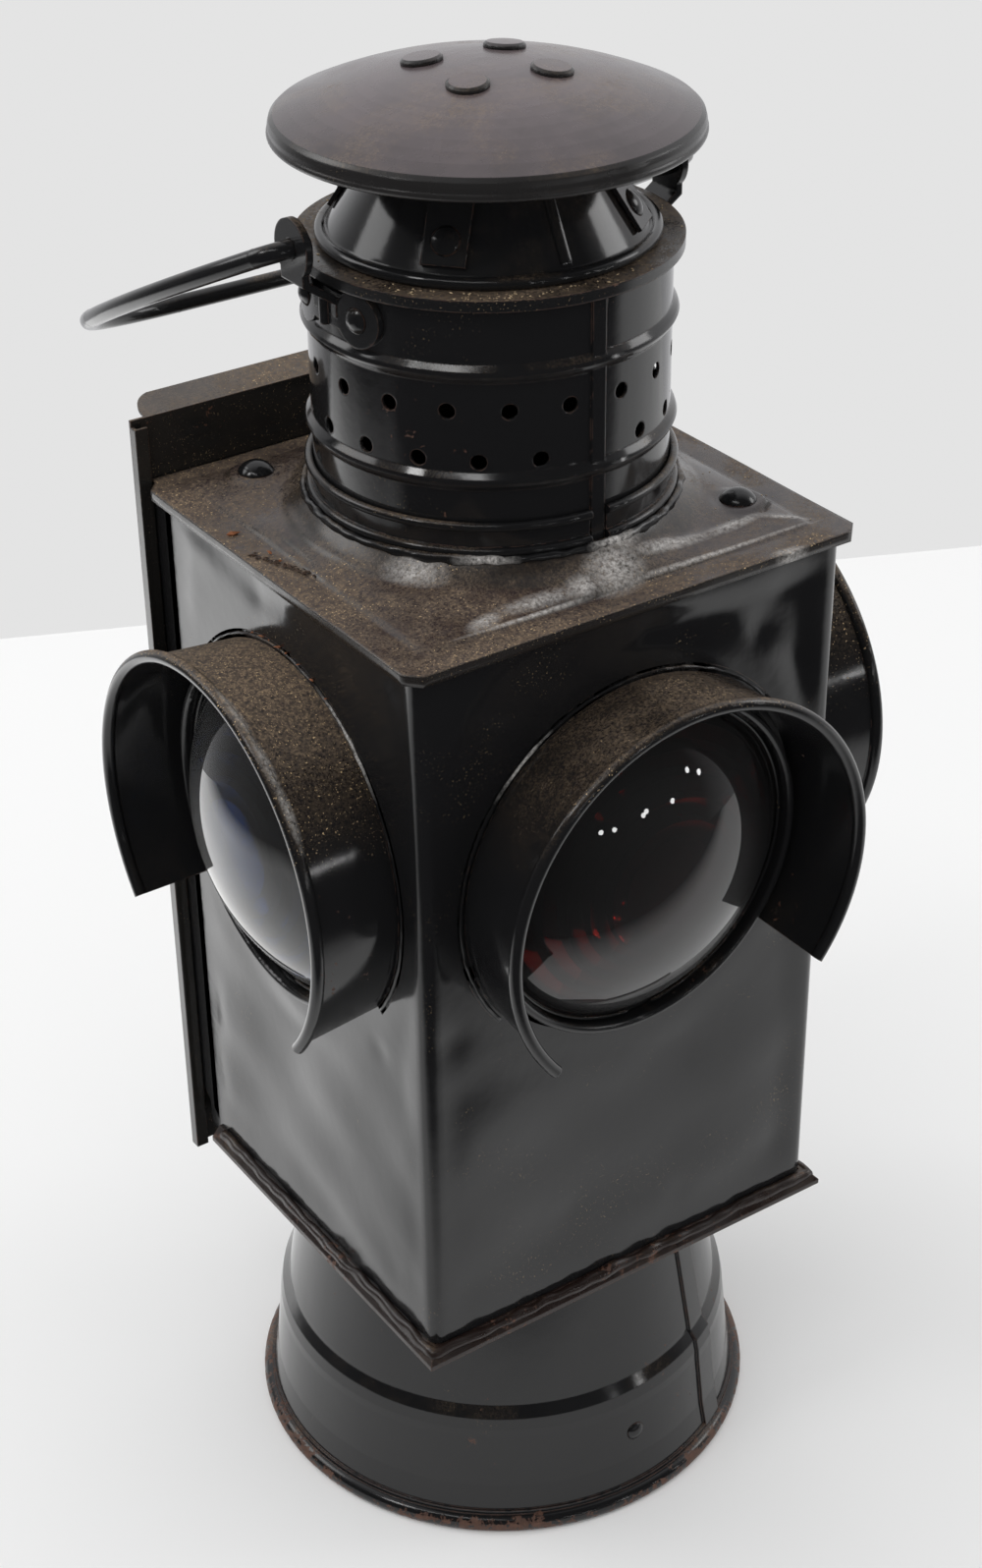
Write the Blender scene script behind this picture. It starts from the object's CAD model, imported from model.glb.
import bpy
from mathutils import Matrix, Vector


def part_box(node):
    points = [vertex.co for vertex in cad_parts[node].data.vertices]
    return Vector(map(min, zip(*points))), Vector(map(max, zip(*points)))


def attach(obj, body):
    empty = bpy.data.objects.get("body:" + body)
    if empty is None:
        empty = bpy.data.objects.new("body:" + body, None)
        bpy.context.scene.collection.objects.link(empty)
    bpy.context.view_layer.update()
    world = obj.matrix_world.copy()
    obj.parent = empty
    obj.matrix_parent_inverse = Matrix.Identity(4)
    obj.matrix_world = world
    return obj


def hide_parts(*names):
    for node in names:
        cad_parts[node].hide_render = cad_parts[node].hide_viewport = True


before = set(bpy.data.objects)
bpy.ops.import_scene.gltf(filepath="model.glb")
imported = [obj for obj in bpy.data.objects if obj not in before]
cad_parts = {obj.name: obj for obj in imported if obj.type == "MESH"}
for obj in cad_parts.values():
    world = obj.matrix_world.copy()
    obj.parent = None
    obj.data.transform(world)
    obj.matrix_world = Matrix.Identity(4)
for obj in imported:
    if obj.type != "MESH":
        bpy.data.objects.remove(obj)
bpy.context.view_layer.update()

import bmesh
import bpy
import math
import numpy as np
from mathutils import Matrix, Vector

# Camera: it stands to the front left of the lamp and looks down on it, so the front and left
# lenses, the roof and the cap all show. Its place and lens come from the lamp's own corners.
CAMERA_AT = (-0.38422, -0.56759, 0.65164)
CAMERA_TURN, CAMERA_DROP, CAMERA_ROLL = math.radians(-33.985), math.radians(31.535), math.radians(-0.763)
PHOTO_WIDTH, PHOTO_HEIGHT, FOCAL_PX, SENSOR_MM = 1000, 1596, 2723.7, 36.0

backward = Vector((math.sin(CAMERA_TURN) * math.cos(CAMERA_DROP),
                   -math.cos(CAMERA_TURN) * math.cos(CAMERA_DROP), math.sin(CAMERA_DROP)))
level_right = (-backward).cross(Vector((0, 0, 1))).normalized()
level_up = level_right.cross(-backward)
right = level_right * math.cos(CAMERA_ROLL) + level_up * math.sin(CAMERA_ROLL)
up = level_up * math.cos(CAMERA_ROLL) - level_right * math.sin(CAMERA_ROLL)
camera = bpy.data.objects.new("camera", bpy.data.cameras.new("camera"))
camera.data.sensor_width = SENSOR_MM
camera.data.lens = FOCAL_PX * SENSOR_MM / PHOTO_HEIGHT
camera.data.clip_start, camera.data.clip_end = 0.02, 50
camera.matrix_world = Matrix((right, up, backward)).transposed().to_4x4()
camera.location = CAMERA_AT
bpy.context.scene.collection.objects.link(camera)
bpy.context.scene.camera = camera
bpy.context.scene.view_settings.view_transform = "Standard"


def sight_through(across, down):
    """The way from the camera through a point of the photo, in pixels from its top left corner."""
    way = right * (across - PHOTO_WIDTH / 2) + up * (PHOTO_HEIGHT / 2 - down) - backward * FOCAL_PX
    return way.normalized()


# Table and room: a pale bench under the lamp and a pale room behind it, in soft even light. In the
# gloss of the paint the bench turns dark towards the front, where the photographer stood.
def feed(tree, node, inputs):
    """Gives each named input of a node a value, or a link from another node's socket."""
    for name, value in inputs.items():
        if isinstance(value, bpy.types.NodeSocket):
            tree.links.new(value, node.inputs[name])
        else:
            node.inputs[name].default_value = value


def add(tree, kind, inputs=None, **settings):
    """One shader node of that kind, with its settings first and its inputs after them."""
    made = tree.nodes.new("ShaderNode" + kind)
    for name, value in settings.items():
        setattr(made, name, value)
    feed(tree, made, inputs or {})
    return made


def ramp(tree, value, low, high, to_low=0.0, to_high=1.0):
    """A value carried from one range to another, and held at the ends."""
    return add(tree, "MapRange", {"Value": value, "From Min": low, "From Max": high,
               "To Min": to_low, "To Max": to_high}).outputs["Result"]


def math_of(tree, operation, a, b=0.0):
    """One sum on one or two values: the operation's name, then the values."""
    return add(tree, "Math", {0: a, 1: b}, operation=operation).outputs[0]


def times(tree, a, b):
    """The product of two values."""
    return math_of(tree, "MULTIPLY", a, b)


def along(tree, where, heading):
    """How far a point or direction lies along a heading."""
    return add(tree, "VectorMath", {0: where, 1: heading}, operation="DOT_PRODUCT").outputs["Value"]


def own_place(tree):
    """The shaded point in the piece's own metres, which are the lamp's."""
    return add(tree, "TexCoord").outputs["Object"]


def blank_finish(name):
    """A new material, with its node tree and its surface node."""
    made = bpy.data.materials.new(name)
    made.use_nodes = True
    return made, made.node_tree, made.node_tree.nodes["Principled BSDF"]


def mesh_piece(name, points, faces):
    """A piece made of points in metres and faces that index them, linked into the scene."""
    mesh = bpy.data.meshes.new(name)
    mesh.from_pydata(points.tolist(), [], faces.tolist())
    made = bpy.data.objects.new(name, mesh)
    bpy.context.scene.collection.objects.link(made)
    return made


def sheet_of_quads(name, points, closed_u=False, closed_v=False, keep=None):
    """A smooth mesh on a grid of points (rows, columns, 3): each cell of the grid is one quad."""
    rows, columns = points.shape[:2]
    grid = np.arange(rows * columns).reshape(rows, columns)
    if closed_u:
        grid = np.vstack([grid, grid[:1]])
    if closed_v:
        grid = np.hstack([grid, grid[:, :1]])
    quads = np.stack([grid[:-1, :-1], grid[:-1, 1:], grid[1:, 1:], grid[1:, :-1]], -1)
    quads = quads[keep] if keep is not None else quads.reshape(-1, 4)
    used, quads = np.unique(quads, return_inverse=True)
    made = mesh_piece(name, points.reshape(-1, 3)[used], quads.reshape(-1, 4))
    joined = bmesh.new()
    joined.from_mesh(made.data)
    bmesh.ops.remove_doubles(joined, verts=joined.verts, dist=1e-7)
    joined.to_mesh(made.data)
    joined.free()
    made.data.polygons.foreach_set("use_smooth", [True] * len(made.data.polygons))
    return made


# The bench's reach from the lamp in metres, and the room's turn about Z
BENCH_FRONT, BENCH_BACK, BENCH_SIDE = 1.2, 0.561, 1.6
ROOM_TURN = math.radians(-23.97)
ROOM_RIGHT = (math.cos(ROOM_TURN), math.sin(ROOM_TURN), 0)
ROOM_BACK = (-math.sin(ROOM_TURN), math.cos(ROOM_TURN), 0)
BENCH_COLOUR, BENCH_SHADE = (0.88, 0.88, 0.88, 1), (0.02, 0.02, 0.022, 1)
# In the gloss, between these places, the bench darkens towards its front and its left end, and glows
# from the window to the left and the back
BENCH_DARK, BENCH_END = (-0.33, -0.2), (-0.95, -0.6)
GLOW_SIDE, GLOW_BACK, GLOW_STRENGTH = (0.05, -0.35), (-0.1, 0.2), 1.2


def room_point(side, back, z):
    """A point of the room: side runs along the bench's back edge, back runs away from the camera."""
    return tuple(np.multiply(side, ROOM_RIGHT) + np.multiply(back, ROOM_BACK) + (0, 0, z))


bench = sheet_of_quads("bench", np.array([[room_point(side, back, 0) for side in (-BENCH_SIDE, BENCH_SIDE)]
                                          for back in (-BENCH_FRONT, BENCH_BACK)]))
paper, tree, surface = blank_finish("bench")
feed(tree, surface, {"Base Color": BENCH_COLOUR, "Roughness": 0.85})
where = own_place(tree)
to_right, to_back = along(tree, where, ROOM_RIGHT), along(tree, where, ROOM_BACK)
window_glow = times(tree, ramp(tree, to_right, *GLOW_SIDE),
                    ramp(tree, to_back, *GLOW_BACK, 0.0, GLOW_STRENGTH))
glow = add(tree, "Emission", {"Strength": window_glow})
bright = add(tree, "AddShader", {0: surface.outputs[0], 1: glow.outputs[0]})
shade = add(tree, "Emission", {"Color": BENCH_SHADE})
lit_part = times(tree, ramp(tree, to_right, *BENCH_END), ramp(tree, to_back, *BENCH_DARK))
gloss = add(tree, "MixShader", {0: lit_part, 1: shade.outputs[0], 2: bright.outputs[0]})
ray = add(tree, "LightPath")
whole = add(tree, "MixShader", {0: ray.outputs["Is Glossy Ray"], 1: surface.outputs[0], 2: gloss.outputs[0]})
feed(tree, tree.nodes["Material Output"], {"Surface": whole.outputs[0]})
bench.data.materials.append(paper)

# In the gloss alone, the room is bright behind the lamp, and dark behind the camera and at the far left
ROOM_COLOUR, GLOSS_TINT, ROOM_STRENGTH = (0.775, 0.775, 0.775, 1), (0.98, 0.98, 1, 1), 0.86
GLOSS_DARK, GLOSS_BRIGHT, GLOSS_LEFT = 0.02, 0.85, 0.12
world = bpy.data.worlds.new("room")
bpy.context.scene.world = world
world.use_nodes = True
tree = world.node_tree
tree.nodes.clear()
ray = add(tree, "LightPath")
direction = add(tree, "TexCoord").outputs["Generated"]
behind = times(tree, ramp(tree, along(tree, direction, ROOM_BACK), -0.3, 0.3, GLOSS_DARK, GLOSS_BRIGHT),
               ramp(tree, along(tree, direction, ROOM_RIGHT), -0.9, -0.5, GLOSS_LEFT, 1.0))
seen = add(tree, "Background", {"Color": ROOM_COLOUR, "Strength": 1.0})
gloss = add(tree, "Background", {"Color": GLOSS_TINT, "Strength": behind})
lit = add(tree, "Background", {"Color": (1, 1, 1, 1), "Strength": ROOM_STRENGTH})
unseen = add(tree, "MixShader", {0: ray.outputs["Is Glossy Ray"], 1: lit.outputs[0], 2: gloss.outputs[0]})
whole = add(tree, "MixShader", {0: ray.outputs["Is Camera Ray"], 1: unseen.outputs[0], 2: seen.outputs[0]})
add(tree, "OutputWorld", {"Surface": whole.outputs[0]})


def place_light(name, light, place):
    """A light of the room, hidden from the camera itself."""
    lamp = bpy.data.objects.new(name, light)
    lamp.location = place
    lamp.visible_camera = False
    bpy.context.scene.collection.objects.link(lamp)
    return lamp


# Soft panels of the room: name, place in the room, width and height in metres, and power
ROOM_PANELS = (("window", (-1.5, 0.7, 1.5), (1.1, 1.1), 8),
               ("side_panel", (1.5, 0.1, 1.0), (0.6, 0.6), 3),
               ("ceiling", (-0.7, -0.9, 2.1), (1.6, 0.12), 3.5),
               ("left_lamp", (-1.2, -0.5, 1.7), (0.3, 0.3), 3))
PANEL_AIM = Vector((0, 0, 0.2))
for name, place, (wide, high), power in ROOM_PANELS:
    light = bpy.data.lights.new(name, "AREA")
    light.shape, light.size, light.size_y, light.energy = "ELLIPSE", wide, high, power
    lamp = place_light(name, light, room_point(*place))
    lamp.rotation_mode = "QUATERNION"
    lamp.rotation_quaternion = (PANEL_AIM - lamp.location).to_track_quat("-Z", "Y")

# Small room lights, which show as white dots in the front lens: each dot is a point of the photo, in
# pixels, and its light stands where the dome of the lens mirrors the camera's sight. The dome is in metres.
LIGHT_DOTS = ((700, 783), (712, 785), (685, 815), (658, 826), (655, 830), (625, 845), (611, 848))
DOME_RADIUS, DOME_MIDDLE = 0.0686, Vector((0, -0.0234, 0.241))
ROOM_LIGHT_REACH, ROOM_LIGHT_RADIUS, ROOM_LIGHT_POWER = 2.2, 0.046, 1.4
FRONT_LENS = (-0.005, -0.085, 0.27)
camera_off = Vector(CAMERA_AT) - DOME_MIDDLE
for number, dot in enumerate(LIGHT_DOTS):
    sight = sight_through(*dot)
    nearing = -sight.dot(camera_off)
    to_glass = nearing - math.sqrt(nearing ** 2 - camera_off.length_squared + DOME_RADIUS ** 2)
    outward = (camera_off + to_glass * sight) / DOME_RADIUS
    heading = sight - 2 * sight.dot(outward) * outward
    light = bpy.data.lights.new("room_light_%d" % number, "POINT")
    light.shadow_soft_size, light.energy = ROOM_LIGHT_RADIUS, ROOM_LIGHT_POWER
    place_light(light.name, light, Vector(FRONT_LENS) + ROOM_LIGHT_REACH * heading)

# Base skirt: rolled tin plate, stoved gloss black. Its paint is the paint of the whole lamp: worn brown
# on its edges, with lamp dust on whatever faces up, over thin tin that is nowhere quite flat.
PAINT_BLACK = (0.008, 0.008, 0.0085, 1)
RUST_DARK, RUST_LIGHT = (0.026, 0.011, 0.007, 1), (0.13, 0.058, 0.034, 1)
DUST_DARK, DUST_LIGHT = (0.06, 0.043, 0.038, 1), (0.265, 0.188, 0.118, 1)
GRIT_COLOUR, SMEAR_COLOUR = (0.7, 0.5, 0.27, 1), (0.5, 0.48, 0.46, 1)
# Noises in the paint, in waves per metre: dust in clouds, mottles, grains and grit
CLOUD_WAVES, MOTTLE_WAVES, GRAIN_WAVES, GRIT_WAVES = 34, 650, 1300, 1700
# and wear in zones, chips, rust, dents, ripples, orange peel, scuffs and streaks
ZONE_WAVES, CHIP_WAVES, RUST_WAVES, DENT_WAVES, RIPPLE_WAVES = 16, 330, 500, 11, 48
PEEL_WAVES, SCUFF_WAVES, STREAK_WAVES = 520, 60, 800
# In metres: how deep the dents, ripples and peel are, and the radius of a bent edge
DENT_DEPTH, RIPPLE_DEPTH, PEEL_DEPTH, SOFT_EDGE = 0.0035, 0.00035, 0.00001, 0.0007


def plus(tree, a, b):
    """The sum of two values."""
    return math_of(tree, "ADD", a, b)


def effect_group(name, inputs, outputs):
    """An empty shader group with named value inputs (name, value) and outputs (name, kind)."""
    made = bpy.data.node_groups.new(name, "ShaderNodeTree")
    for title, value in inputs:
        socket = made.interface.new_socket(title, in_out="INPUT", socket_type="NodeSocketFloat")
        socket.default_value = value
    for title, kind in outputs:
        made.interface.new_socket(title, in_out="OUTPUT", socket_type="NodeSocket" + kind)
    return made, made.nodes.new("NodeGroupInput").outputs, made.nodes.new("NodeGroupOutput")


def noise(tree, where, waves, detail=4.0, rough=0.55):
    """A cloudy value near a half, with that many waves per metre and finer ones over them."""
    return add(tree, "TexNoise", {"Vector": where, "Scale": waves, "Detail": detail,
               "Roughness": rough}).outputs["Fac"]


def blend_colour(tree, fac, a, b):
    """Colour a turning into colour b as fac goes from 0 to 1."""
    return add(tree, "Mix", {0: fac, 6: a, 7: b}, data_type="RGBA").outputs[2]


def bump(tree, height, **others):
    """The way that the surface faces, tilted as a height in metres rises and falls."""
    return add(tree, "Bump", {"Height": height, "Strength": 1.0, "Distance": 1.0, **others}).outputs["Normal"]


def dust_effect():
    """Dust lies on faces that look up, thick where a slow noise is high, with pale grit through it."""
    tree, given, out = effect_group("lamp_dust", [("Amount", 0.5), ("Clouds", 1.0)],
                                    [("Mask", "Float"), ("Colour", "Color")])
    where = own_place(tree)
    facing = along(tree, add(tree, "NewGeometry").outputs["Normal"], (0, 0, 1))
    level = math_of(tree, "POWER", ramp(tree, facing, 0.3, 0.97), 1.8)
    clouds = ramp(tree, noise(tree, where, CLOUD_WAVES, 9, 0.66), 0.33, 0.68, 0.1, 0.9)
    clouds = times(tree, math_of(tree, "SUBTRACT", clouds, 0.5), given["Clouds"])
    patches = plus(tree, plus(tree, clouds, 0.5), given["Amount"])
    lying = times(tree, ramp(tree, patches, 0.55, 1.35), level)
    grain = ramp(tree, noise(tree, where, GRAIN_WAVES, 3, 0.75), 0.36, 0.62, 0.35, 1.1)
    grit = times(tree, ramp(tree, noise(tree, where, GRIT_WAVES, 1, 0.5), 0.68, 0.73),
                 ramp(tree, patches, 0.75, 1.05))
    mask = math_of(tree, "MAXIMUM", times(tree, lying, grain),
                   times(tree, grit, ramp(tree, facing, -0.1, 0.7, 0.1, 0.9)))
    mottle = ramp(tree, noise(tree, where, MOTTLE_WAVES, 6, 0.75), 0.36, 0.64)
    colour = blend_colour(tree, grit, blend_colour(tree, mottle, DUST_DARK, DUST_LIGHT), GRIT_COLOUR)
    feed(tree, out, {"Mask": mask, "Colour": colour})
    return tree


def wear_effect():
    """Wear: small brown chips through the paint, and the slow dents and orange peel of painted tin."""
    tree, given, out = effect_group("paint_wear", [("Chips", 0.5), ("Dents", 1.0), ("Edge", 0.0)],
                                    [("Mask", "Float"), ("Colour", "Color"), ("Height", "Float"),
                                     ("Scuff", "Float")])
    where = own_place(tree)
    zones = ramp(tree, noise(tree, where, ZONE_WAVES, 5, 0.6), 0.35, 0.75, 0.6, 1.05)
    chips = plus(tree, times(tree, noise(tree, where, CHIP_WAVES, 6, 0.7), zones), given["Chips"])
    bare = plus(tree, chips, times(tree, given["Edge"], 0.22))
    slow = times(tree, noise(tree, where, DENT_WAVES, 2, 0.45), DENT_DEPTH)
    ripples = times(tree, noise(tree, where, RIPPLE_WAVES, 3, 0.5), RIPPLE_DEPTH)
    peel = times(tree, noise(tree, where, PEEL_WAVES, 3, 0.5), PEEL_DEPTH)
    feed(tree, out, {
        "Mask": ramp(tree, bare, 0.98, 1.02),
        "Colour": blend_colour(tree, noise(tree, where, RUST_WAVES, 4), RUST_DARK, RUST_LIGHT),
        "Height": plus(tree, times(tree, plus(tree, slow, ripples), given["Dents"]), peel),
        "Scuff": ramp(tree, noise(tree, where, SCUFF_WAVES, 7, 0.65), 0.35, 0.75)})
    return tree


dust_group = dust_effect()
wear_group = wear_effect()


def rubbed(tree, where, smears):
    """A mask of rubbed patches: each is 1 in its middle and falls to 0 at its half lengths, and the
    highest of them counts, broken by a fine noise."""
    shine = 0.0
    for middle, half_lengths, turn in smears:
        patch = add(tree, "Mapping", {"Vector": where, "Location": middle, "Scale": half_lengths,
                    "Rotation": tuple(np.radians(turn))}, vector_type="TEXTURE")
        reach = add(tree, "VectorMath", {0: patch.outputs[0]}, operation="LENGTH").outputs["Value"]
        shine = math_of(tree, "MAXIMUM", shine, ramp(tree, reach, 1.0, 0.1))
    return times(tree, shine, ramp(tree, noise(tree, where, STREAK_WAVES, 6, 0.75), 0.34, 0.62))


def painted_tin(name, gloss=0.1, dust=0.3, chips=0.4, dents=1.0, paint=PAINT_BLACK, scuff=0.08, smears=(),
                film=None, dusty_rim=None, dust_line=None, rust_line=None, clouds=1.0):
    """Black paint over tin: edges are soft and worn, chips show rust, and dust lies on top in clouds. Gloss
    is the roughness of clean paint, and scuff what worn paint adds to it. Each smear is the middle, half
    lengths and turn of a bright patch, in metres and degrees, where the paint is rubbed to a silvery gloss.
    A film is the colour of an even haze on what lies level. A dusty rim is the half width and half depth of
    a plate on which more dust lies towards the edges and the left. The dust grows above the dust line, and
    rust lies below the rust line."""
    made, tree, surface = blank_finish(name)
    rounded = add(tree, "Bevel", {"Radius": SOFT_EDGE}, samples=4).outputs["Normal"]
    flat = add(tree, "NewGeometry").outputs["Normal"]
    where = own_place(tree)
    height = along(tree, where, (0, 0, 1))
    edge = ramp(tree, along(tree, rounded, flat), 0.97, 0.75)
    if rust_line:
        edge = plus(tree, edge, ramp(tree, height, rust_line + 0.003, rust_line - 0.002, 0.0, 1.05))
    wear = add(tree, "Group", {"Chips": chips, "Dents": dents, "Edge": edge}, node_tree=wear_group).outputs
    amount = dust
    if dust_line:
        amount = ramp(tree, height, dust_line, dust_line + 0.04, 0.1, dust)
    if dusty_rim:
        part = add(tree, "SeparateXYZ", {0: where}).outputs
        off = [math_of(tree, "DIVIDE", math_of(tree, "ABSOLUTE", part[axis]), reach)
               for axis, reach in zip("XY", dusty_rim)]
        near_edge = ramp(tree, math_of(tree, "MAXIMUM", *off), 0.83, 0.93, dust, dust + 0.2)
        amount = plus(tree, near_edge, ramp(tree, part["X"], 0.02, -0.07, 0.0, 0.25))
    dusty = add(tree, "Group", {"Amount": amount, "Clouds": clouds}, node_tree=dust_group).outputs
    colour = blend_colour(tree, wear["Mask"], paint, wear["Colour"])
    if film:
        haze = times(tree, ramp(tree, along(tree, flat, (0, 0, 1)), 0.83, 0.98),
                     ramp(tree, wear["Scuff"], 0, 1, 0.6, 1.0))
        colour = blend_colour(tree, haze, colour, film)
    colour = blend_colour(tree, dusty["Mask"], colour, dusty["Colour"])
    dull = math_of(tree, "MAXIMUM", ramp(tree, wear["Scuff"], 0, 1, gloss, gloss + scuff),
                   times(tree, wear["Mask"], 0.6))
    dull = math_of(tree, "MAXIMUM", dull, ramp(tree, dusty["Mask"], 0, 0.6, 0, 0.8))
    if smears:
        shine = rubbed(tree, where, smears)
        colour = blend_colour(tree, shine, colour, SMEAR_COLOUR)
        dull = times(tree, dull, ramp(tree, shine, 0, 1, 1, 0.6))
    feed(tree, surface, {"IOR": 1.5, "Base Color": colour, "Roughness": dull,
         "Normal": bump(tree, wear["Height"], Normal=rounded)})
    return made


def finish_node(finish, *names):
    """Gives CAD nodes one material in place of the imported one."""
    for name in names:
        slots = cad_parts[name].data.materials
        slots.clear()
        slots.append(finish)


def fit_piece(piece, body, finish):
    """A new piece takes its finish, rides on its body and names its slot in the record."""
    piece.data.materials.append(finish)
    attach(piece, body)


finish_node(painted_tin("skirt_paint", dents=0.35, gloss=0.11, chips=0.42, dust=0.02, rust_line=0.0055),
            "base_skirt", "base_rivet")

# Floor tray: a plate whose folded hem is soldered round three walls. The solder was run on by hand,
# so it lies in lumps, and its paint has gone to rust.
mm = 0.001
FLOOR_TOP, ROOF_FOOT, LENS_HEIGHT = 90.9, 322.9, 241.0
HALF_WIDTH, HALF_DEPTH = 70.0, 68.0
HEM_OUT, HEM_UP, HEM_END, HEM_RADIUS, HEM_LUMP, HEM_STEP = 2.1, 2.6, 57, 1.8, 0.9, 1.6
BEAD_SIDES = 10
TRAY_BLACK = (0.014, 0.008, 0.0065, 1)
tray_paint = painted_tin("tray_rust", gloss=0.2, chips=0.52, dust=0.0, dents=0.4, scuff=0.3, paint=TRAY_BLACK)
finish_node(tray_paint, "floor_tray")


def wander(seed, count, waves, smooth=1.0):
    """A seeded closed wobble of mean 0 and peak near 1: a sum of sines of falling height round a loop."""
    random = np.random.default_rng(seed)
    at = np.linspace(0, 2 * np.pi, count, endpoint=False)[:, None]
    order = np.arange(1, waves + 1)[None, :]
    height = random.normal(size=(1, waves)) / order ** (0.5 * smooth)
    wave = (height * np.sin(order * at + random.uniform(0, 2 * np.pi, (1, waves)))).sum(1)
    return wave / np.abs(wave).max()


def lumpy_radius(radius, lump, seed, count):
    """The radius of a run of solder, at count places along it and at each of its sides: a plain radius plus
    lump times a seeded wobble, which each two neighbouring sides share."""
    wobbles = np.stack([wander(seed + k, count, count // 5, 0.6) for k in range(BEAD_SIDES // 2)], 1)
    return radius + lump * wobbles[:, np.arange(BEAD_SIDES) // 2]


def lumpy_bead(name, path, radius, lump, seed, closed=False):
    """A bead of solder: a ring of lumpy radius carried along a path of points (mm). Where the path is open,
    its ends close to points."""
    heading = np.gradient(path, axis=0) if not closed else np.roll(path, -1, 0) - np.roll(path, 1, 0)
    heading /= np.linalg.norm(heading, axis=1, keepdims=True)
    side = np.cross(heading, (0, 0, 1.0))
    side /= np.linalg.norm(side, axis=1, keepdims=True)
    turn = np.linspace(0, 2 * np.pi, BEAD_SIDES, endpoint=False)
    thick = lumpy_radius(radius, lump, seed, len(path))
    if not closed:
        thick[[0, -1]] = 0
    ring = (path[:, None] + thick[..., None] * (np.cos(turn)[None, :, None] * side[:, None]
            + np.sin(turn)[None, :, None] * np.array((0, 0, 1.0))))
    return sheet_of_quads(name, ring * mm, closed_u=closed, closed_v=True)


def walk(corners, step):
    """Points every step mm along straight runs between corners."""
    runs = [np.linspace(a, b, max(2, int(np.linalg.norm(np.subtract(b, a)) / step)), endpoint=False)
            for a, b in zip(corners[:-1], corners[1:])]
    return np.vstack(runs + [np.array([corners[-1]], float)])


hem_x, hem_y, hem_z = HALF_WIDTH + HEM_OUT, HALF_DEPTH + HEM_OUT, FLOOR_TOP + HEM_UP
hem_path = walk([(-hem_x, HEM_END, hem_z), (-hem_x, -hem_y, hem_z), (hem_x, -hem_y, hem_z),
                 (hem_x, HEM_END, hem_z)], HEM_STEP)
fit_piece(lumpy_bead("hem_solder", hem_path, HEM_RADIUS, HEM_LUMP, 11), "lamp", tray_paint)

# Body: three walls bent from one sheet of tin plate, with a rear frame for the door. Use has left the
# thin walls gently dented wherever no ring, hood or seam stiffens them.
WALL_STEP, WALL_PLATE, BEND_RADIUS, LENS_HOLE = 1.8, 0.9, 3.0, 46.0
DOORWAY_HALF_WIDTH, DOORWAY_MIDDLE, DOORWAY_HALF_HEIGHT = 60.0, 206.9, 106.0
DENT_LENGTHS, DENT_SHARE, DENT_SET = (110, 90, 70, 55, 45, 38, 30, 24), 0.0055, 80
# The dents grow over these distances from a lens axis, a corner, the hem and the top, and fade between
# these places on Y towards the door
RING_FADE, CORNER_FADE, HEM_FADE, TOP_FADE, DOOR_FADE = (62, 76), (3, 14), (6, 24), (4, 14), (58, 46)
# Each ding: its place, its size and its depth
WALL_DINGS = (((5, -68, 314), 3.5, 0.35), ((-23, -68, 312), 4.5, 0.4), ((44, -68, 300), 6, 0.5),
              ((52, -68, 312), 5, 0.35), ((-70, 12, 312), 5, 0.4), ((-70, -30, 306), 7, 0.5),
              ((20, -68, 112), 5, 0.3), ((-20, -68, 122), 6, 0.35), ((-70, -48, 110), 6, 0.4),
              ((-58, -68, 184), 8, 0.5), ((-62, -68, 203), 6, 0.35), ((-70, -44, 189), 4, 0.4))


def wall_path():
    """The outline of the body seen from above, and the way out of it, every WALL_STEP mm round a loop."""
    w, d, r = HALF_WIDTH - BEND_RADIUS, HALF_DEPTH - BEND_RADIUS, BEND_RADIUS
    centres = np.array([(w, d), (-w, d), (-w, -d), (w, -d)])
    points, outs = [], []
    for k, centre in enumerate(centres):
        turn = np.radians(90 * k + np.linspace(0, 90, 5))
        out = np.stack([np.cos(turn), np.sin(turn)], 1)
        after = centres[(k + 1) % 4]
        run = np.linalg.norm(after - centre)
        steps = np.linspace(0, 1, int(run / WALL_STEP), endpoint=False)[1:, None]
        points += [centre + r * out, centre + r * out[-1] + steps * (after - centre)]
        outs += [out, np.repeat(out[-1:], len(steps), 0)]
    return np.vstack(points), np.vstack(outs)


def smooth_step(low, high, value):
    """A soft S from 0 at low to 1 at high, whichever is greater: three squares less two cubes."""
    part = np.clip((value - low) / (high - low), 0, 1)
    return part * part * (3 - 2 * part)


def from_lens_axis(x, y, z):
    """Distance from the lens axis, measured in the wall: along Y on a side wall, along X on the others."""
    return np.hypot(np.where(np.abs(x) > HALF_WIDTH - 0.5, y, x), z - LENS_HEIGHT)


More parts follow.
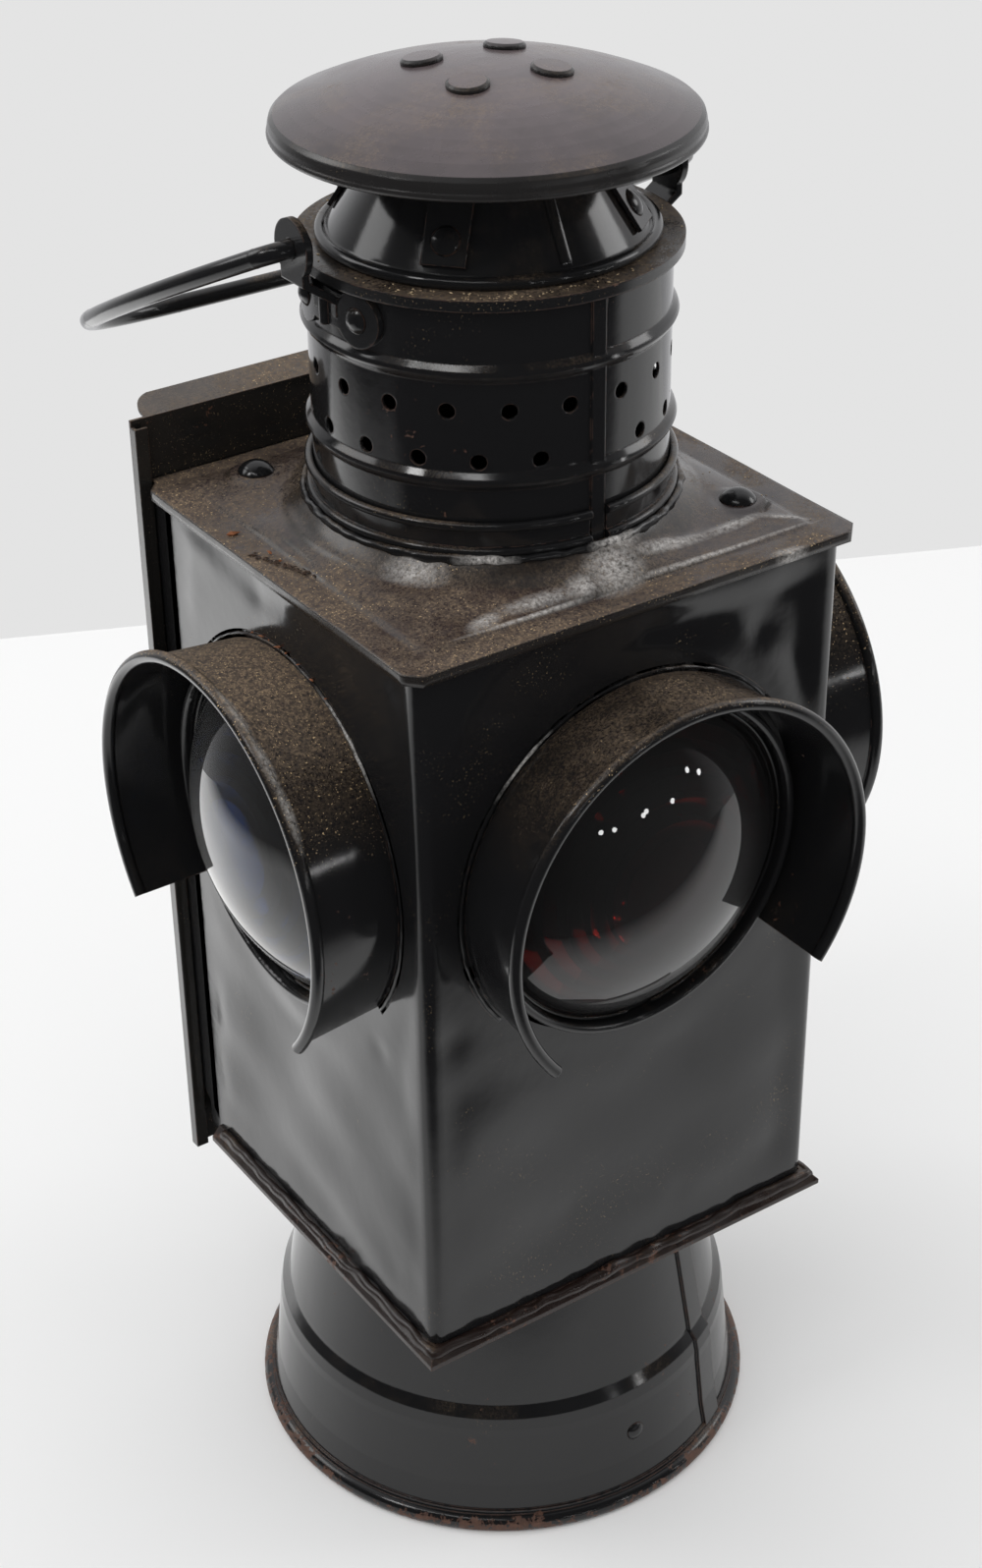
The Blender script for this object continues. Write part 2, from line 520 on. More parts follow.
def wall_dents(x, y, z):
    """Depth of the dents in mm: seeded slow waves, held at nothing near rings, corners, top, hem and door,
    and a round dip for each ding."""
    random = np.random.default_rng(5)
    wave = np.zeros(np.broadcast(x, z).shape)
    for length in DENT_LENGTHS:
        way, start = random.normal(size=3), random.uniform(0, 6.28)
        way *= 2 * np.pi / length / np.linalg.norm(way)
        wave = wave + length * np.sin(way[0] * x + way[1] * y + way[2] * z + start)
    ding = np.zeros(wave.shape)
    for (spot_x, spot_y, spot_z), size, dip in WALL_DINGS:
        away = (x - spot_x) ** 2 + (y - spot_y) ** 2 + (z - spot_z) ** 2
        ding = ding + dip * np.exp(-away / size ** 2)
    far = 200
    off_corner = np.minimum(HALF_WIDTH - np.abs(x) + far * (np.abs(y) < HALF_DEPTH - 4),
                            HALF_DEPTH - np.abs(y) + far * (np.abs(x) < HALF_WIDTH - 4))
    free = smooth_step(*RING_FADE, from_lens_axis(x, y, z)) * smooth_step(*CORNER_FADE, off_corner)
    free = free * smooth_step(*HEM_FADE, z - FLOOR_TOP) * smooth_step(*TOP_FADE, ROOF_FOOT - z)
    free = free * smooth_step(*DOOR_FADE, y)
    return -DENT_SHARE * free * (wave + DENT_SET) - ding


def round_holes(wall):
    """Moves the wall's points that lie next to a lens hole onto its circle."""
    reach = from_lens_axis(wall[..., 0], wall[..., 1], wall[..., 2])
    on_edge = (np.abs(reach - LENS_HOLE) < 0.72 * WALL_STEP) & (wall[..., 1] < HALF_DEPTH - 1)
    pull = np.where(on_edge, LENS_HOLE / np.maximum(reach, 1), 1)
    side_wall = np.abs(wall[..., 0]) > HALF_WIDTH - 0.5
    wall[..., 1] *= np.where(side_wall, pull, 1)
    wall[..., 0] *= np.where(side_wall, 1, pull)
    wall[..., 2] = LENS_HEIGHT + (wall[..., 2] - LENS_HEIGHT) * pull
    return wall


def wall_cells(wall):
    """Which cells of the wall's grid are tin: none inside a lens hole, and none in the doorway."""
    closed = np.concatenate([wall, wall[:, :1]], 1)
    middle = (closed[:-1, :-1] + closed[1:, 1:] + closed[:-1, 1:] + closed[1:, :-1]) / 4
    x, y, z = middle[..., 0], middle[..., 1], middle[..., 2]
    doorway = ((y > HALF_DEPTH - 0.5) & (np.abs(x) < DOORWAY_HALF_WIDTH)
               & (np.abs(z - DOORWAY_MIDDLE) < DOORWAY_HALF_HEIGHT))
    return ((from_lens_axis(x, y, z) > LENS_HOLE) | (y > HALF_DEPTH - 1)) & ~doorway


def add_plate(piece, thickness):
    """Gives a sheet its thickness in mm, inward from its outer face."""
    plate = piece.modifiers.new("plate", "SOLIDIFY")
    plate.thickness, plate.offset = thickness * mm, -1


outline, outward = wall_path()
heights = np.linspace(FLOOR_TOP, ROOF_FOOT, int((ROOF_FOOT - FLOOR_TOP) / WALL_STEP))[::-1]
x, y, z = outline[None, :, 0], outline[None, :, 1], heights[:, None]
depth = wall_dents(x, y, z)
wall = np.stack([x + depth * outward[None, :, 0], y + depth * outward[None, :, 1], z + 0 * depth], -1)
wall = round_holes(wall)
walls = sheet_of_quads("dented_walls", wall * mm, closed_v=True, keep=wall_cells(wall))
add_plate(walls, WALL_PLATE)
fit_piece(walls, "lamp", painted_tin("wall_paint", dents=0.55, gloss=0.1, chips=0.37))
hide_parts("body_shell")

# Guides and rear door: strips soldered along the rear edges of the walls, and a sheet that slides in
# them, with folded sides and a finger flange. Hands and dust have turned the flange brown-grey.
DOOR_BLACK, DOOR_FILM = (0.014, 0.013, 0.012, 1), (0.1, 0.085, 0.075, 1)
finish_node(painted_tin("guide_paint", gloss=0.16, chips=0.46), "door_guides")
finish_node(painted_tin("door_paint", gloss=0.12, dust=0.42, dents=0.6, paint=DOOR_BLACK, film=DOOR_FILM),
            "door_panel")

# Roof: a clipped plate of tin with a turned-down edge. A crease runs round it a little way in, and inside
# the crease the plate sweeps up to the chimney. It is dull with brown dust and rusty along its edges.
ROOF_TOP, ROOF_RISE, ROOF_OVERHANG, ROOF_PLATE, ROOF_HOLE, ROOF_WAVER = 323.8, 9.0, 4.6, 0.85, 48.8, 0.22
ROOF_LIP, REAR_LIP, LIP_FOLD, CORNER_CLIP = 3.0, 0.95, 0.35, 4.0
REAR_OUT, REAR_EDGE, NOTCH_FROM, NOTCH_TO = 0.9, 71.0, HALF_DEPTH - 4, HALF_DEPTH + 0.3
CREASE_X, CREASE_Y, CREASE_STEP, DRUM_SEAT = 65.0, 64.0, 0.45, 52.4
SHOULDER_RADIUS, SHOULDER_RISE, STEEP_RISE = 58.0, 3.4, 5.1
RIVET_SPOTS, RIVET_SEAT = ((54.5, -42.5), (-46, 53)), 2.9
# Each dent: its place, size and height. Each fold: its two ends, half width and height.
ROOF_DENTS = (((8, -57), 11, 0.5), ((-30, -60), 12, -0.5), ((40, -56), 12, -0.45),
              ((-58, -25), 14, -0.5), ((-60, 20), 12, 0.35), ((60, 10), 14, -0.4))
ROOF_FOLDS = (((-50, -61), (-37, -57.6), 1.5, 0.5), ((-37, -57.6), (-14, -60.3), 1.6, 0.5),
              ((-9, -61), (7, -56.5), 4.5, 0.5), ((6, -56.4), (36, -54), 1.7, 0.6),
              ((34, -54), (54, -52.8), 1.6, 0.55), ((53, -52.8), (66.5, -59.5), 1.1, 0.4),
              ((-62, 14), (-63, -8), 1.0, -0.4))
# Each bright streak: where it fades out at its two ends, as points of the photo in pixels, and its half
# width in mm. Its middle is a little over the plate.
STREAK_UP, STREAK_HALF_HEIGHT, SIGHT_STEPS, SIGHT_PACE = 2.5, 20, 30, 0.4
ROOF_STREAKS = (((473, 645), (513, 621), 3.2), ((495, 626), (596, 597), 3.4), ((570, 605), (616, 586), 4),
                ((598, 603), (652, 555), 8.5), ((612, 564), (653, 537), 3.5),
                ((631, 566), (737, 539), 2.4), ((711, 546), (780, 522), 2.4), ((766, 525), (833, 528), 1.3),
                ((452, 655), (622, 601), 0.9), ((591, 610), (851, 524), 1), ((782, 567), (825, 555), 2.6),
                ((384, 578), (461, 591), 5))


def roof_point(across, down):
    """The place in mm where the roof shows at a point of the photo: its height is found step by step."""
    sight, height = sight_through(across, down), ROOF_TOP
    for _ in range(SIGHT_STEPS):
        spot = (Vector(CAMERA_AT) + sight * ((height * mm - CAMERA_AT[2]) / sight.z)) / mm
        height += SIGHT_PACE * (ROOF_TOP + roof_height(spot.x, spot.y) - height)
    return spot.x, spot.y


def streak_patch(start, end, half_width):
    """A streak on the roof as a patch: its middle, its half lengths and its turn about Z."""
    start, end = roof_point(*start), roof_point(*end)
    run, rise = end[0] - start[0], end[1] - start[1]
    middle = ((start[0] + end[0]) / 2 * mm, (start[1] + end[1]) / 2 * mm, (ROOF_TOP + STREAK_UP) * mm)
    half_lengths = (math.hypot(run, rise) / 2 * mm, half_width * mm, STREAK_HALF_HEIGHT * mm)
    return middle, half_lengths, (0, 0, math.degrees(math.atan2(rise, run)))


def roof_height(x, y):
    """Height above the plate's edge in mm: none outside the crease, a slow rise to a shoulder round the
    chimney, a steeper one to its foot, a flat seat under each rivet, and a few dents and folds."""
    reach = np.hypot(x, y)
    inside = np.clip(np.minimum(CREASE_X - np.abs(x), CREASE_Y - np.abs(y)), 0, None)
    share = inside / (inside + np.clip(reach - SHOULDER_RADIUS, 0, None) + 1e-6)
    steep = np.clip((SHOULDER_RADIUS + 2 - reach) / (SHOULDER_RADIUS + 2 - DRUM_SEAT), 0, 1)
    rise = (SHOULDER_RISE * share ** 0.85 + CREASE_STEP * smooth_step(0, 1.6, inside)
            + STEEP_RISE * steep ** 1.6)
    for (spot_x, spot_y), size, height in ROOF_DENTS:
        away = np.hypot(x - spot_x, y - spot_y)
        rise = rise + height * np.exp(-(away / size) ** 2) * smooth_step(0, 5, inside)
    for (x0, y0), (x1, y1), size, height in ROOF_FOLDS:
        run = np.clip(((x - x0) * (x1 - x0) + (y - y0) * (y1 - y0)) / ((x1 - x0) ** 2 + (y1 - y0) ** 2), 0, 1)
        away = np.hypot(x - x0 - run * (x1 - x0), y - y0 - run * (y1 - y0))
        rise = rise + height * np.exp(-(away / size) ** 2) * np.sin(np.pi * np.clip(run, 0.02, 0.98)) ** 0.5
    for spot_x, spot_y in RIVET_SPOTS:
        off_rivet = np.hypot(x - spot_x, y - spot_y)
        near = smooth_step(9, 6.2, off_rivet)
        rise = np.maximum(rise, RIVET_SEAT * smooth_step(11, 6.4, off_rivet)) * (1 - near) + RIVET_SEAT * near
    return np.minimum(rise, ROOF_RISE)


def roof_outline():
    """The plate's edge from above: a rectangle, clipped at the front and notched at the rear for the door."""
    side, front = HALF_WIDTH + ROOF_OVERHANG, -HALF_DEPTH - ROOF_OVERHANG
    rear = HALF_WIDTH + REAR_OUT
    right = [(side, front + CORNER_CLIP), (side, NOTCH_FROM), (rear, NOTCH_TO), (rear, REAR_EDGE)]
    left = [(-x, y) for x, y in reversed(right)]
    front_edge = [(-side + CORNER_CLIP, front), (side - CORNER_CLIP, front), right[0]]
    return walk(right + left + front_edge, 1.5)[:-1]


rim = roof_outline()
inner = ROOF_HOLE * rim / np.linalg.norm(rim, axis=1, keepdims=True)
share = (np.linspace(0, 1, 60) ** 0.9)[:, None, None]
flat_roof = rim * (1 - share) + inner * share
waver = ROOF_WAVER * wander(3, len(rim), 14)
top = np.dstack([flat_roof, ROOF_TOP + roof_height(flat_roof[..., 0], flat_roof[..., 1])
                 + waver * np.clip(1 - 6 * share[..., 0], 0, 1)])
lip_drop = np.where(rim[:, 1] > HALF_DEPTH - 3, REAR_LIP, ROOF_LIP)
lip_height = ROOF_TOP + waver - LIP_FOLD - np.outer((1, 0.5, 0), lip_drop - LIP_FOLD)
lip = np.dstack([np.repeat(rim[None], 3, 0), lip_height])
skin = sheet_of_quads("roof_skin", np.concatenate([lip, top]) * mm, closed_v=True)
add_plate(skin, ROOF_PLATE)
ROOF_BLACK, ROOF_FILM = (0.014, 0.012, 0.011, 1), (0.036, 0.026, 0.027, 1)
roof_smears = [streak_patch(*streak) for streak in ROOF_STREAKS]
roof_reach = (HALF_WIDTH + ROOF_OVERHANG) * mm, (HALF_DEPTH + ROOF_OVERHANG) * mm
roof_paint = painted_tin("roof_paint", gloss=0.15, dust=0.2, dents=0.2, chips=0.38, paint=ROOF_BLACK,
                         scuff=0.24, film=ROOF_FILM, smears=roof_smears, dusty_rim=roof_reach)
fit_piece(skin, "lamp", roof_paint)
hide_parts("top_plate")
finish_node(painted_tin("rivet_paint", gloss=0.13, dust=0.0, dents=0.1), "roof_rivets")

# Lint and grit: crumbs caught on the roof and round the disc over the drum, with flakes of rust at the
# left hood's foot and a scab of dark rust along a scratch. All of it lies loose, or clings to the paint.
LID_TOP, LID_RIM = 404.7, (46.9, 51.9)
LINT_DARK, LINT_LIGHT = (0.2, 0.14, 0.08, 1), (0.55, 0.43, 0.27, 1)
FLAKE_DARK, FLAKE_LIGHT = (0.1, 0.035, 0.015, 1), (0.36, 0.13, 0.05, 1)
SCAB_DARK, SCAB_LIGHT = (0.012, 0.008, 0.007, 1), (0.09, 0.05, 0.03, 1)
CRUMB_WAVES, DRIFT_TURN, DRIFT_SPREAD, DRIFT_CRUMBS, RIM_CRUMBS, ROOF_CRUMBS = 400, -118, 22, 60, 50, 150
FLAKE_SPOTS = ((-69.6, 25.5, 324.4), (-67.3, 9, 324.5), (-67.9, 3, 324.5))
FLAKE_REACH, FLAKE_TURNS = 59.6, (104, 99, 95, 90, 86, 80, 73, 66)
FLAKE_SIZES = (1.5, 0.8, 0.7, 0.5, 0.7, 0.5, 0.8, 0.6, 0.5, 0.7, 0.5)
SCRATCH_FROM, SCRATCH_TO = (-71.5, 11, 324.2), (-64.5, -9, 324.6)
SCAB_CRUMBS, SCRATCH_SPREAD = 22, (0.5, 0.5, 0.05)


def crumbs(name, places, sizes, seed):
    """One eight-sided crumb at each place (mm), with each corner pushed out by a seeded amount."""
    random = np.random.default_rng(seed)
    corners = np.array([(1, 0, 0), (0, 1, 0), (-1, 0, 0), (0, -1, 0), (0, 0, 1), (0, 0, -1)], float)
    faces = np.array([(0, 1, 4), (1, 2, 4), (2, 3, 4), (3, 0, 4), (1, 0, 5), (2, 1, 5), (3, 2, 5), (0, 3, 5)])
    spin = random.uniform(0, np.pi, (len(places), 1))
    shape = corners[None] * random.uniform(0.45, 1.3, (len(places), 6, 1)) * (1.5, 0.8, 0.6)
    turned = np.stack([shape[..., 0] * np.cos(spin) - shape[..., 1] * np.sin(spin),
                       shape[..., 0] * np.sin(spin) + shape[..., 1] * np.cos(spin), shape[..., 2]], -1)
    points = (places[:, None] + turned * np.reshape(sizes, (-1, 1, 1))) * mm
    faces = faces[None] + 6 * np.arange(len(places))[:, None, None]
    return mesh_piece(name, points.reshape(-1, 3), faces.reshape(-1, 3))


def grit_finish(name, dark, light):
    """Dull crumbs, in a fine noise between a dark and a light colour."""
    made, tree, surface = blank_finish(name)
    colour = blend_colour(tree, noise(tree, own_place(tree), CRUMB_WAVES, 5, 0.7), dark, light)
    feed(tree, surface, {"Roughness": 0.9, "Base Color": colour})
    return made


random = np.random.default_rng(41)
lid_turn = np.radians(np.concatenate([random.normal(DRIFT_TURN, DRIFT_SPREAD, DRIFT_CRUMBS),
                                      random.uniform(-180, 180, RIM_CRUMBS)]))
lid_reach = random.uniform(*LID_RIM, len(lid_turn))
lid_spots = np.stack([lid_reach * np.cos(lid_turn), lid_reach * np.sin(lid_turn),
                      np.full(len(lid_turn), LID_TOP + 0.15)], 1)
roof_spots = random.uniform((-73, -71), (73, 68), (ROOF_CRUMBS, 2))
roof_spots = roof_spots[np.hypot(roof_spots[:, 0], roof_spots[:, 1]) > 56]
roof_spots = np.column_stack([roof_spots, ROOF_TOP + 0.1 + roof_height(roof_spots[:, 0], roof_spots[:, 1])])
lint_sizes = [random.uniform(0.18, 0.5, len(lid_spots)), random.uniform(0.1, 0.3, len(roof_spots))]
lint = crumbs("roof_lint", np.vstack([lid_spots, roof_spots]), np.concatenate(lint_sizes), 8)
fit_piece(lint, "lamp", grit_finish("lint", LINT_DARK, LINT_LIGHT))

foot_turn = np.radians(FLAKE_TURNS)
foot_spots = np.stack([0 * foot_turn - HALF_WIDTH - 1.4, -FLAKE_REACH * np.cos(foot_turn),
                       LENS_HEIGHT + FLAKE_REACH * np.sin(foot_turn)], 1)
flakes = crumbs("rust_flakes", np.vstack([FLAKE_SPOTS, foot_spots]), FLAKE_SIZES, 4)
fit_piece(flakes, "lamp", grit_finish("rust_flake", FLAKE_DARK, FLAKE_LIGHT))

scab_spots = np.linspace(SCRATCH_FROM, SCRATCH_TO, SCAB_CRUMBS)
scab_spots = scab_spots + random.normal(0, SCRATCH_SPREAD, scab_spots.shape)
scabs = crumbs("roof_scab", scab_spots, random.uniform(0.5, 1.2, SCAB_CRUMBS), 5)
fit_piece(scabs, "lamp", grit_finish("dark_rust", SCAB_DARK, SCAB_LIGHT))

# Lens rings and hoods: spun and rolled tin, soldered to the walls. The hoods are furred with brown
# dust on top and glossy black below, and the left one is rubbed silvery by its rim.
HOOD_RADIUS, HOOD_GAP, HOOD_RIM, HOOD_RUB_REACH = 57.2, 51, 26.7, 60
SEAM_RADIUS, SEAM_OUT, SEAM_WIRE, SEAM_LUMP = HOOD_RADIUS + 1.3, 0.95, 0.5, 0.3
# Where the left hood is rubbed and two seams shine, in degrees up from the lens axis
HOOD_RUBS, LEFT_SEAM_GLINT, FRONT_SEAM_GLINT = (110, 126, 140), 127, 131


def patch_round_lens(side, out, reach, turn, long, wide):
    """A patch along a circle round the left or front lens's axis: reach is the circle's radius, turn the way
    to it in degrees up from +Y or +X, out its distance from the wall, and long and wide its half lengths
    along the circle and across it."""
    across, high = reach * math.cos(math.radians(turn)), LENS_HEIGHT + reach * math.sin(math.radians(turn))
    if side == "left":
        middle, half_lengths, tilt = (-HALF_WIDTH - out, across, high), (wide, long, 6), (turn - 90, 0, 0)
    else:
        middle, half_lengths, tilt = (across, -HALF_DEPTH - out, high), (long, wide, 5), (0, 90 - turn, 0)
    return tuple(np.multiply(middle, mm)), tuple(np.multiply(half_lengths, mm)), tilt


hood_rubs = [patch_round_lens("left", HOOD_RIM, HOOD_RUB_REACH, turn, 13, 2.2) for turn in HOOD_RUBS]
seam_glints = [patch_round_lens("left", 1.2, SEAM_RADIUS, LEFT_SEAM_GLINT, 21, 5),
               patch_round_lens("front", 1.2, SEAM_RADIUS, FRONT_SEAM_GLINT, 13, 5)]
finish_node(painted_tin("hood_paint", gloss=0.1, clouds=0.55, dust=0.8, dents=0.35, chips=0.4,
                        smears=hood_rubs, dust_line=0.248), "hood_left", "hood_right", "hood_rear")
finish_node(painted_tin("front_hood_paint", gloss=0.1, clouds=0.7, dust=0.4, dents=0.35, chips=0.4,
                        dust_line=0.255), "hood_front")
finish_node(painted_tin("ring_paint", gloss=0.12, dust=0.05, dents=0.2),
            "lens_ring_front", "lens_ring_left", "lens_ring_right", "lens_ring_rear")

# Lenses: pressed glass, smooth outside and stepped inside, so deep in colour that they look black until a
# light is behind them. The front and rear ones are red, the side ones blue, and a split wire keeps each in.
GLASS_RED, GLASS_BLUE = (0.035, 0.0009, 0.0006, 1), (0.0002, 0.004, 0.02, 1)
GLASS_RADIUS, GLASS_BULGE, GLASS_EDGE, GLASS_SEAT = 48.4, 20.0, 4.0, 49.6
BALL_RADIUS = (GLASS_RADIUS ** 2 + GLASS_BULGE ** 2) / (2 * GLASS_BULGE)
PRISM_RINGS, PRISM_START, PRISM_END, PRISM_TIP, PRISM_ROOT = 5, 14.0, GLASS_RADIUS - 5.4, 4.5, 6.5
PRISM_WIDTH = (PRISM_END - PRISM_START) / PRISM_RINGS
SEAT_BEVEL, SEAT_FOOT = 0.4, GLASS_RADIUS - 3.9
KEEPER_WIRE, KEEPER_GAP, KEEPER_NEST, DOOR_FACE = 0.5, 4, 0.55, 72.3
# Each lens: its facing in degrees from the front, its wall's distance, its body and its glass
LENSES = (("front", 0, HALF_DEPTH, "lamp", "red_glass"), ("left", -90, HALF_WIDTH, "lamp", "blue_glass"),
          ("right", 90, HALF_WIDTH, "lamp", "blue_glass"), ("rear", 180, DOOR_FACE, "door", "red_glass"))


def lens_glass(name, tint):
    """Pressed glass, tinted right through, with a fine film of dust on it."""
    made, tree, surface = blank_finish(name)
    where = own_place(tree)
    darker = tuple(0.8 * part for part in tint[:3]) + (1,)
    feed(tree, surface, {"IOR": 1.52, "Transmission Weight": 1.0, "Coat Weight": 0.6, "Coat Roughness": 0.6,
         "Base Color": blend_colour(tree, noise(tree, where, 55, 6, 0.65), tint, darker),
         "Roughness": ramp(tree, noise(tree, where, 700, 3, 0.6), 0.4, 0.8, 0.0, 0.04)})
    return made


def dome_height(r):
    """Height of the glass dome above the wall, at a distance r from the lens axis."""
    return GLASS_EDGE + GLASS_BULGE - BALL_RADIUS + np.sqrt(BALL_RADIUS ** 2 - r ** 2)


def lens_profile():
    """Radius and height along the section: out over the dome, round the seat, and back in by the prisms."""
    dome_r = GLASS_RADIUS * np.linspace(0, 1, 42)[1:]
    profile = [(0, dome_height(0)), *zip(dome_r, dome_height(dome_r)), (GLASS_SEAT - SEAT_BEVEL, GLASS_EDGE),
               (GLASS_SEAT, GLASS_EDGE - SEAT_BEVEL), (GLASS_SEAT, 0), (SEAT_FOOT, 0)]
    for k in reversed(range(PRISM_RINGS)):
        near, far = PRISM_START + k * PRISM_WIDTH, PRISM_START + (k + 1) * PRISM_WIDTH
        profile += [(far, dome_height(far) - PRISM_TIP), (near, dome_height(far) - PRISM_ROOT + 0.2 * k)]
    return np.array(profile + [(0, dome_height(PRISM_START) - PRISM_ROOT)])


def on_wall(across, high, out, facing):
    """Points given across, up and out from a lens axis (mm), turned to a facing and lifted to the lenses."""
    around = math.radians(facing)
    return np.dstack([across * math.cos(around) + out * math.sin(around),
                      across * math.sin(around) - out * math.cos(around), high + LENS_HEIGHT]) * mm


def pressed_lens(name, facing, wall):
    """The lens section turned about its axis, set on the wall at that distance and facing."""
    r, h = lens_profile().T
    turn = np.linspace(2 * np.pi, 0, 160, endpoint=False)
    out = wall + np.repeat(h[:, None], len(turn), 1)
    made = sheet_of_quads(name, on_wall(np.outer(r, np.cos(turn)), np.outer(r, np.sin(turn)), out, facing),
                          closed_v=True)
    made.data.set_sharp_from_angle(angle=math.radians(20))
    return made


def turned_ring(name, radius, out, wire, gap, facing, wall, lump=0.0):
    """A round wire of that radius (or a lumpy one) bent round the lens axis, open below for gap degrees to
    each side, and set on the wall as the lens is. Its ends close to points."""
    turn = np.radians(np.linspace(gap - 90, 270 - gap, 240))
    bar = np.linspace(0, 2 * np.pi, BEAD_SIDES, endpoint=False)
    thick = lumpy_radius(wire, lump, 60, len(turn))
    thick[[0, -1]] = 0
    reach = radius + thick * np.cos(bar)
    return sheet_of_quads(name, on_wall(reach * np.cos(turn)[:, None], reach * np.sin(turn)[:, None],
                                        wall + out + thick * np.sin(bar), facing), closed_v=True)


keeper_paint = painted_tin("keeper_paint", gloss=0.15, dents=0.1)
seam_paint = painted_tin("seam_paint", gloss=0.08, dust=0.2, dents=0.1, chips=0.42, smears=seam_glints)
glass = {"red_glass": lens_glass("red_glass", GLASS_RED), "blue_glass": lens_glass("blue_glass", GLASS_BLUE)}
for side, facing, wall, body, slot in LENSES:
    lens = pressed_lens("glass_" + side, facing, wall)
    fit_piece(lens, body, glass[slot])
    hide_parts("lens_" + side)
    keeper = turned_ring("keeper_" + side, GLASS_SEAT - KEEPER_NEST, GLASS_EDGE + KEEPER_NEST, KEEPER_WIRE,
                         KEEPER_GAP, facing, wall)
    fit_piece(keeper, body, keeper_paint)
    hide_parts("lens_wire_" + side)
    seam = turned_ring("hood_solder_" + side, SEAM_RADIUS, SEAM_OUT, SEAM_WIRE, HOOD_GAP, facing, wall,
                       SEAM_LUMP)
    fit_piece(seam, body, seam_paint)

# Chimney: a rolled drum with two beads and two rows of vents, a collar and a run of solder at its foot,
# a disc on top and a cone over it. The cone is rolled from sheet too, and lapped where it meets.
DRUM_FOOT, DRUM_RADIUS, SOLDER_OUT, SOLDER_RADIUS, SOLDER_LUMP = 332.8, 49.6, 3.1, 1.1, 0.65
SOLDER_GLINTS, GLINT_REACH = (-126, -86), 53.5
COWL_FOOT, COWL_SLOPE, COWL_LEAN, LAP_TURN = 45.2, 15.2 / 23, math.radians(33.5), math.radians(-96.5)
LAP_FOOT, LAP_TOP, LAP_ROWS = 3.2, 21.5, 24
LAP_SIDES, LAP_PROUD, LAP_SUNK = (-1.6, -1.6, -1.3, 1.3, 1.6, 1.6), (-0.2, 0.4, 0.65, 0.65, 0.4, -0.2), -0.2


def foot_glint(turn):
    """A bright patch on the solder at the drum's foot, at that turn in degrees from +X."""
    around = math.radians(turn)
    place = (GLINT_REACH * mm * math.cos(around), GLINT_REACH * mm * math.sin(around), DRUM_FOOT * mm)
    return place, (10 * mm, 4 * mm, 4 * mm), (0, 0, turn + 90)


def cowl_lap(turn):
    """The lapped joint up the cone: a low flat band laid along its slope at that turn from +X."""
    up = np.linspace(LAP_FOOT, LAP_TOP, LAP_ROWS)[:, None]
    side = np.array(LAP_SIDES)
    proud = np.array(LAP_PROUD) * np.ones((LAP_ROWS, 1))
    proud[[0, -1]] = LAP_SUNK
    reach = COWL_FOOT - COWL_SLOPE * up + proud * math.cos(COWL_LEAN)
    out, around = (math.cos(turn), math.sin(turn)), (-math.sin(turn), math.cos(turn))
    points = np.dstack([reach * out[0] + side * around[0], reach * out[1] + side * around[1],
                        LID_TOP + up + proud * math.sin(COWL_LEAN)])
    return sheet_of_quads("cowl_lap", points * mm)


drum_paint = painted_tin("drum_paint", gloss=0.08, dust=0.1, dents=0.2, chips=0.38)
finish_node(drum_paint, "drum", "drum_foot", "cowl")
finish_node(painted_tin("lid_paint", gloss=0.2, dust=0.5, dents=0.1, chips=0.42), "drum_lid")
turn = np.linspace(0, 2 * np.pi, 300, endpoint=False)
foot_reach = DRUM_RADIUS + SOLDER_OUT
bead_path = np.stack([foot_reach * np.cos(turn), foot_reach * np.sin(turn), 0 * turn + DRUM_FOOT - 0.3], 1)
solder_paint = painted_tin("solder_paint", gloss=0.13, dust=0.1, dents=0.1, chips=0.4,
                           smears=[foot_glint(turn) for turn in SOLDER_GLINTS])
foot_solder = lumpy_bead("foot_solder", bead_path, SOLDER_RADIUS, SOLDER_LUMP, 29, closed=True)
fit_piece(foot_solder, "lamp", solder_paint)
fit_piece(cowl_lap(LAP_TURN), "lamp", drum_paint)

# Cap, straps, ears and bail: a domed disc with a rolled rim, riveted to four straps that hold it over the
# chimney, and a wire bail in two riveted ears. An even film of dust has turned the cap grey-purple.
CAP_BLACK, CAP_FILM = (0.014, 0.013, 0.013, 1), (0.135, 0.109, 0.115, 1)
finish_node(painted_tin("cap_paint", clouds=0.8, gloss=0.22, dust=0.1, dents=0.1, chips=0.34, paint=CAP_BLACK,
                        scuff=0.12, film=CAP_FILM), "cap", "cap_rivets")
finish_node(painted_tin("fitting_paint", gloss=0.12, dust=0.1, dents=0.1),
            "cap_strap_front", "cap_strap_left", "cap_strap_right", "cap_strap_rear", "strap_rivets",
            "ear_left", "ear_right", "ear_rivets", "bail")

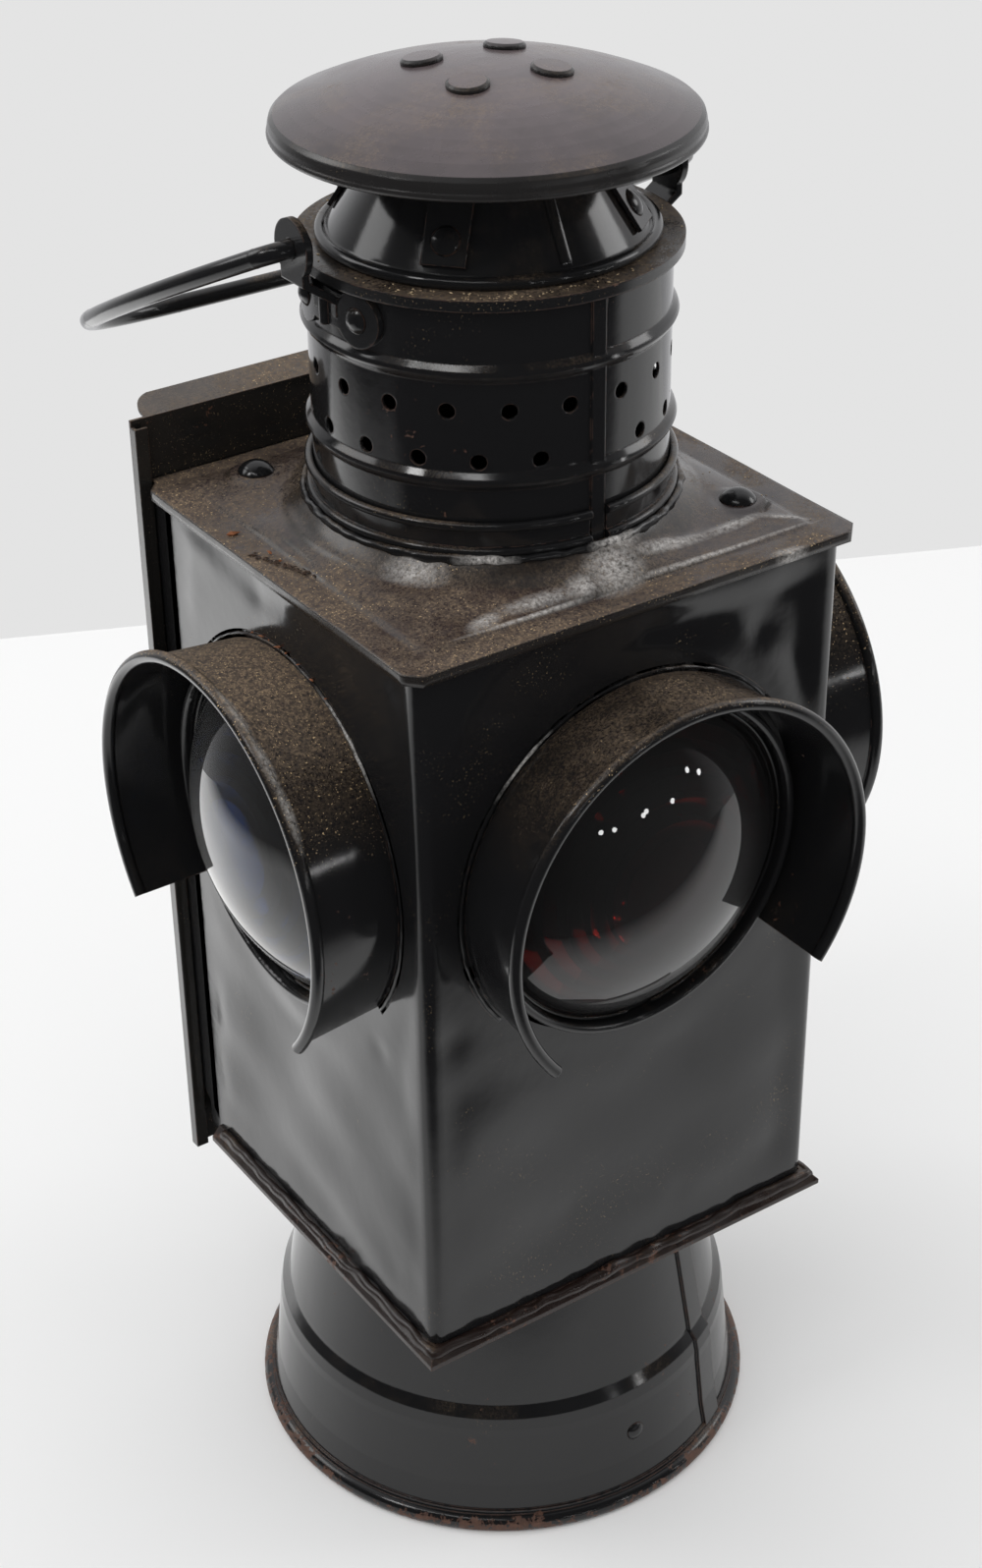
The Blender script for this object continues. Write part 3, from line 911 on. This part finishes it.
# Oil tank and burner: bare tin plate soldered into a can, with a spun brass collar, burner and knob. Lamp
# oil and heat have browned both metals.
TIN, TIN_STAIN = (0.55, 0.54, 0.52, 1), (0.2, 0.13, 0.085, 1)
BRASS, BRASS_STAIN = (0.62, 0.43, 0.17, 1), (0.16, 0.095, 0.045, 1)


def bare_metal(name, bright, stain, gloss):
    """Bare metal with slow brown stains, which are duller than the rest, and shallow dents and scratches."""
    made, tree, surface = blank_finish(name)
    where = own_place(tree)
    stained = ramp(tree, noise(tree, where, 38, 7, 0.66), 0.42, 0.7)
    dents = plus(tree, times(tree, noise(tree, where, 60, 3), 0.0003),
                 times(tree, noise(tree, where, 900, 2), 0.000012))
    feed(tree, surface, {"Metallic": 1.0, "Base Color": blend_colour(tree, stained, bright, stain),
         "Roughness": ramp(tree, stained, 0, 1, gloss, gloss + 0.3), "Normal": bump(tree, dents)})
    return made


finish_node(bare_metal("bare_tin", TIN, TIN_STAIN, 0.25), "fount_tank", "fount_ring", "draught_baffle")
finish_node(bare_metal("dull_brass", BRASS, BRASS_STAIN, 0.22), "fount_collar", "filler_cap", "burner_body",
            "burner_dome", "wick_tube", "wick_spindle", "wick_knob")

# Wick: flat woven cotton, fed up through the burner's tube and charred along its top edge
WICK_TOP, THREAD, THREAD_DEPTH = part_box("wick")[1][2], 0.0009, 0.0001
THREAD_DARK, THREAD_LIGHT, CHAR = (0.5, 0.44, 0.33, 1), (0.78, 0.72, 0.6, 1), (0.02, 0.017, 0.015, 1)


def woven_cotton():
    """Threads both ways, as the product of a sine across and a sine up, burnt black near the top."""
    made, tree, surface = blank_finish("wick_cotton")
    where = own_place(tree)
    height = along(tree, where, (0, 0, 1))
    across = math_of(tree, "SINE", times(tree, along(tree, where, (1, 0, 0)), 6.283 / THREAD))
    weave = times(tree, across, math_of(tree, "SINE", times(tree, height, 6.283 / THREAD)))
    thread = blend_colour(tree, ramp(tree, weave, -1, 1), THREAD_DARK, THREAD_LIGHT)
    charred = ramp(tree, height, WICK_TOP - 0.004, WICK_TOP - 0.001)
    feed(tree, surface, {"Roughness": 0.95, "Base Color": blend_colour(tree, charred, thread, CHAR),
         "Normal": bump(tree, times(tree, weave, THREAD_DEPTH))})
    return made


finish_node(woven_cotton(), "wick")
